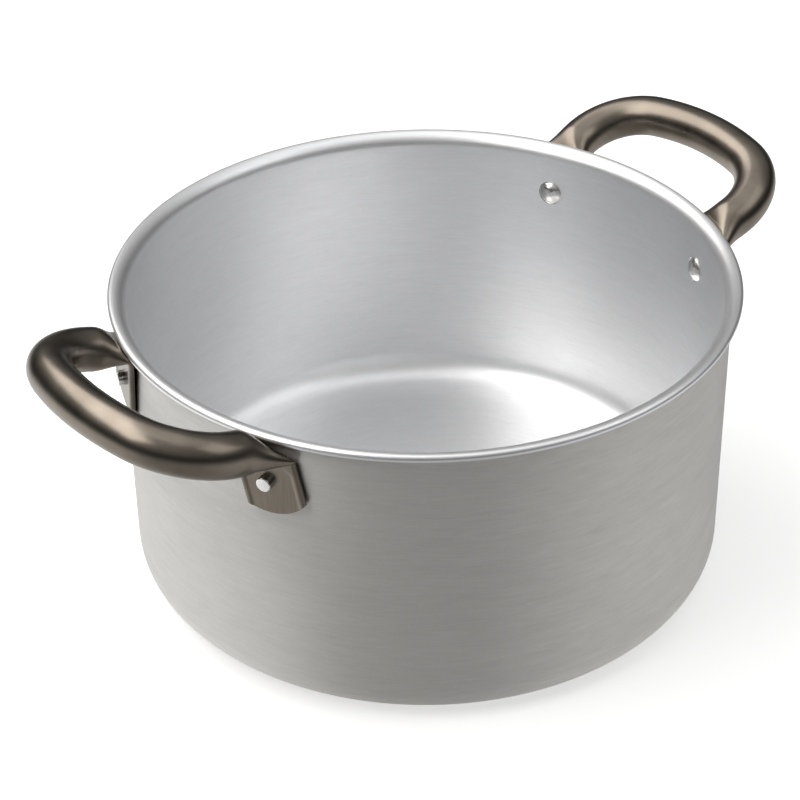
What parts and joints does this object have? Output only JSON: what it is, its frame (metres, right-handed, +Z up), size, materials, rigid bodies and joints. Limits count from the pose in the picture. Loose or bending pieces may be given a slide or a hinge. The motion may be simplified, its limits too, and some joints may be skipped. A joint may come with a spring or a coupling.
{
  "type": "stock pot",
  "caption": "Low round aluminium stock pot with a flared rim, a flat base and a bent steel tube handle riveted to each side of the wall.",
  "frame": {"origin": "centre of the base, on the surface that the pot stands on", "axes": "+Z up, +X along the line through both handles, +Y across"},
  "size_m": [0.336, 0.25, 0.1428],
  "materials": {
    "pot_aluminium": "fine brushed satin, lines running round the pot",
    "handle_steel": "satin brushed, warm grey-brown",
    "rivet_steel": "bright, lightly polished"
  },
  "bodies": {
    "root": {"pot_body": "pot_aluminium", "handle_left": "handle_steel", "handle_right": "handle_steel", "rivet_left_front": "rivet_steel", "rivet_left_back": "rivet_steel", "rivet_right_front": "rivet_steel", "rivet_right_back": "rivet_steel"}
  },
  "joints": []
}
